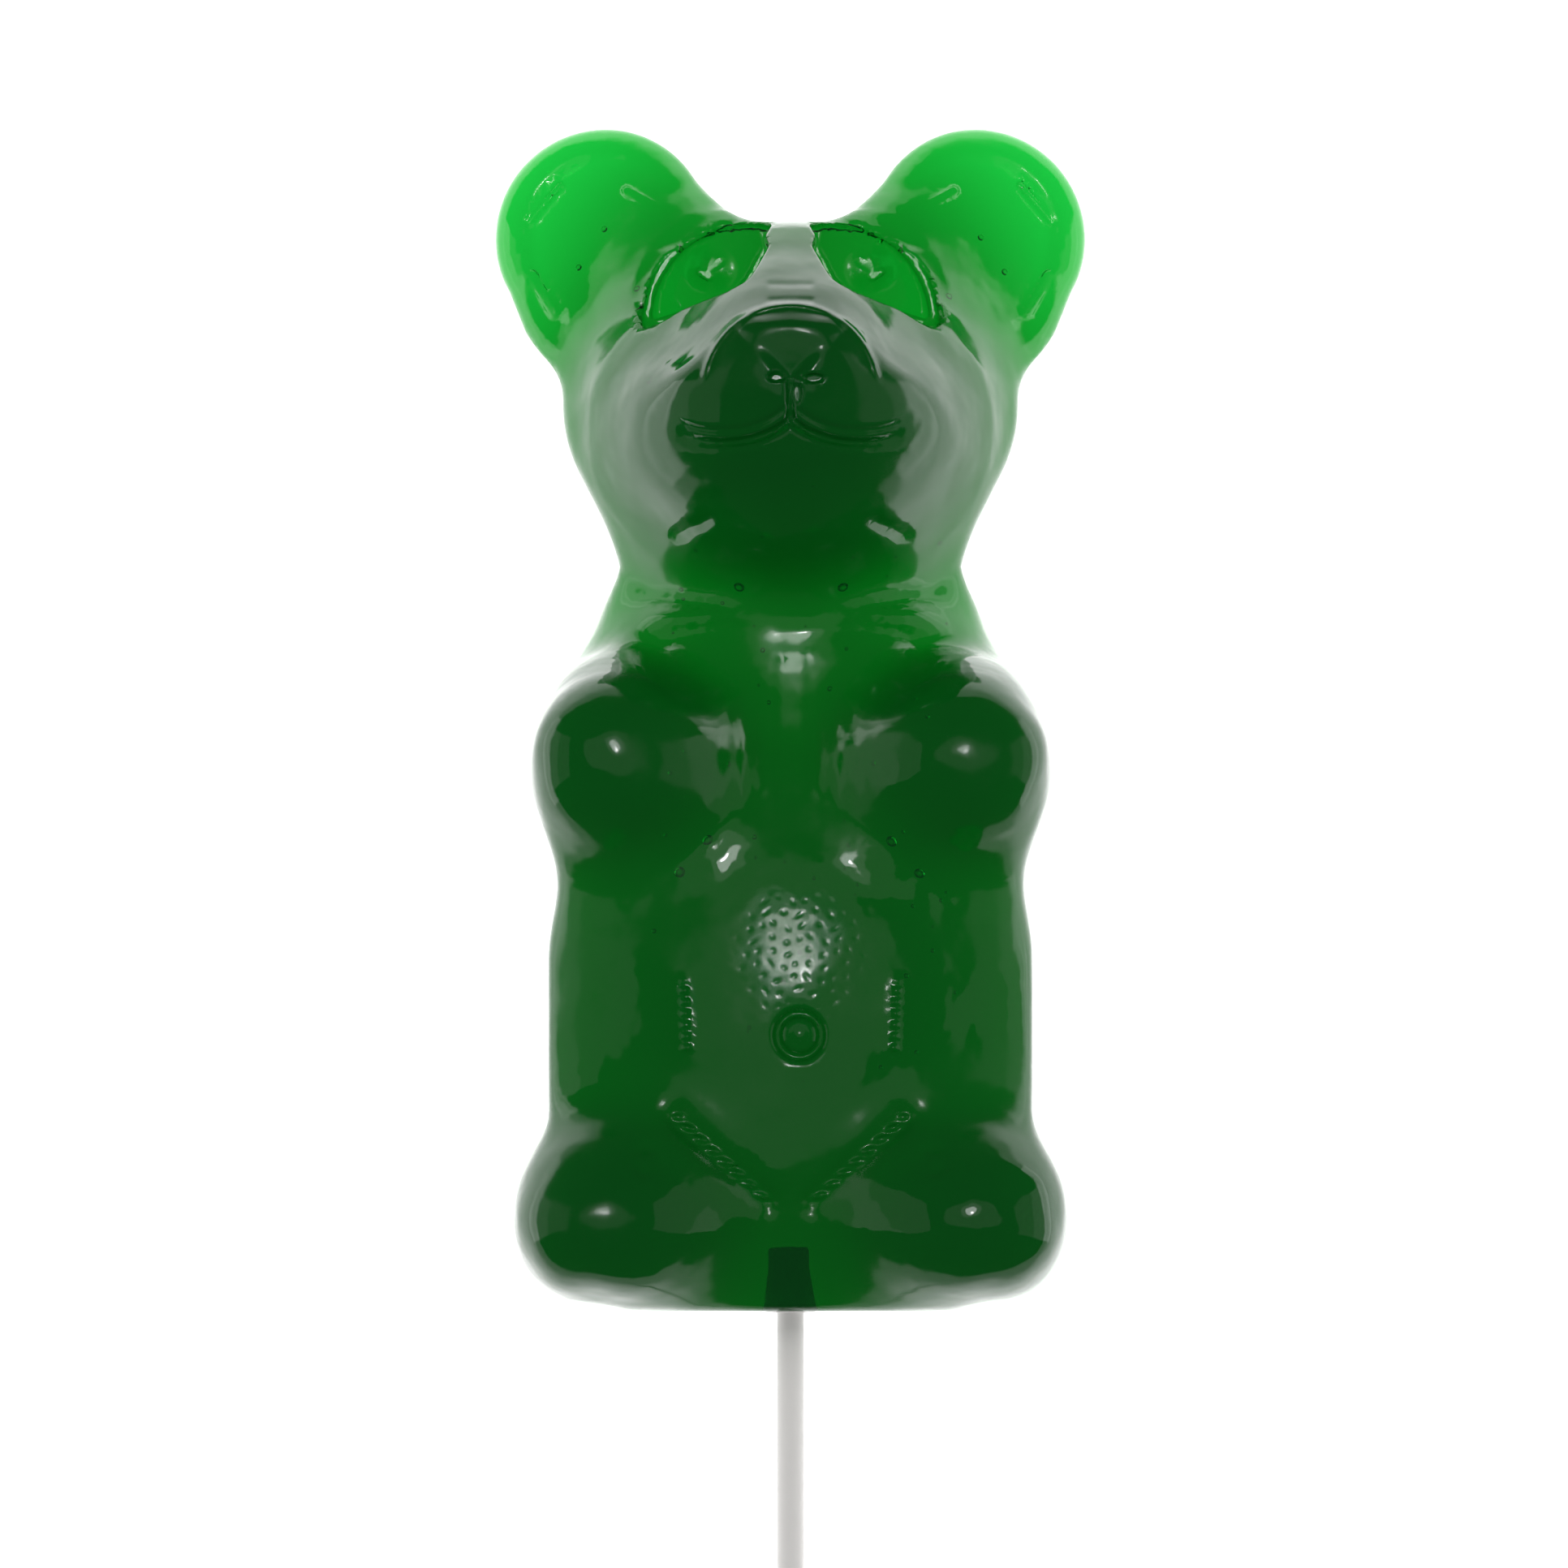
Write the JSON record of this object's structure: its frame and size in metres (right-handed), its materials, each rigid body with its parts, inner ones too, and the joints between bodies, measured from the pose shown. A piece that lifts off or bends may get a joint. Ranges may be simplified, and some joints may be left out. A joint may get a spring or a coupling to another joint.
{
  "type": "gummy bear on a stick",
  "caption": "Large translucent green jelly bear with a flat back, stubby limbs and a white stick in its base, lying on its back.",
  "frame": {"origin": "on the flat back, in the middle of the bear's width, below its chest", "axes": "+Y from the feet to the ears, +Z from the flat back to the belly, +X across the bear"},
  "size_m": [0.0556, 0.2064, 0.0391],
  "materials": {
    "green_jelly": "translucent jelly with an oily gloss",
    "white_stick": "matt white"
  },
  "bodies": {
    "root": {"bear": "green_jelly", "stick": "white_stick"}
  },
  "joints": []
}
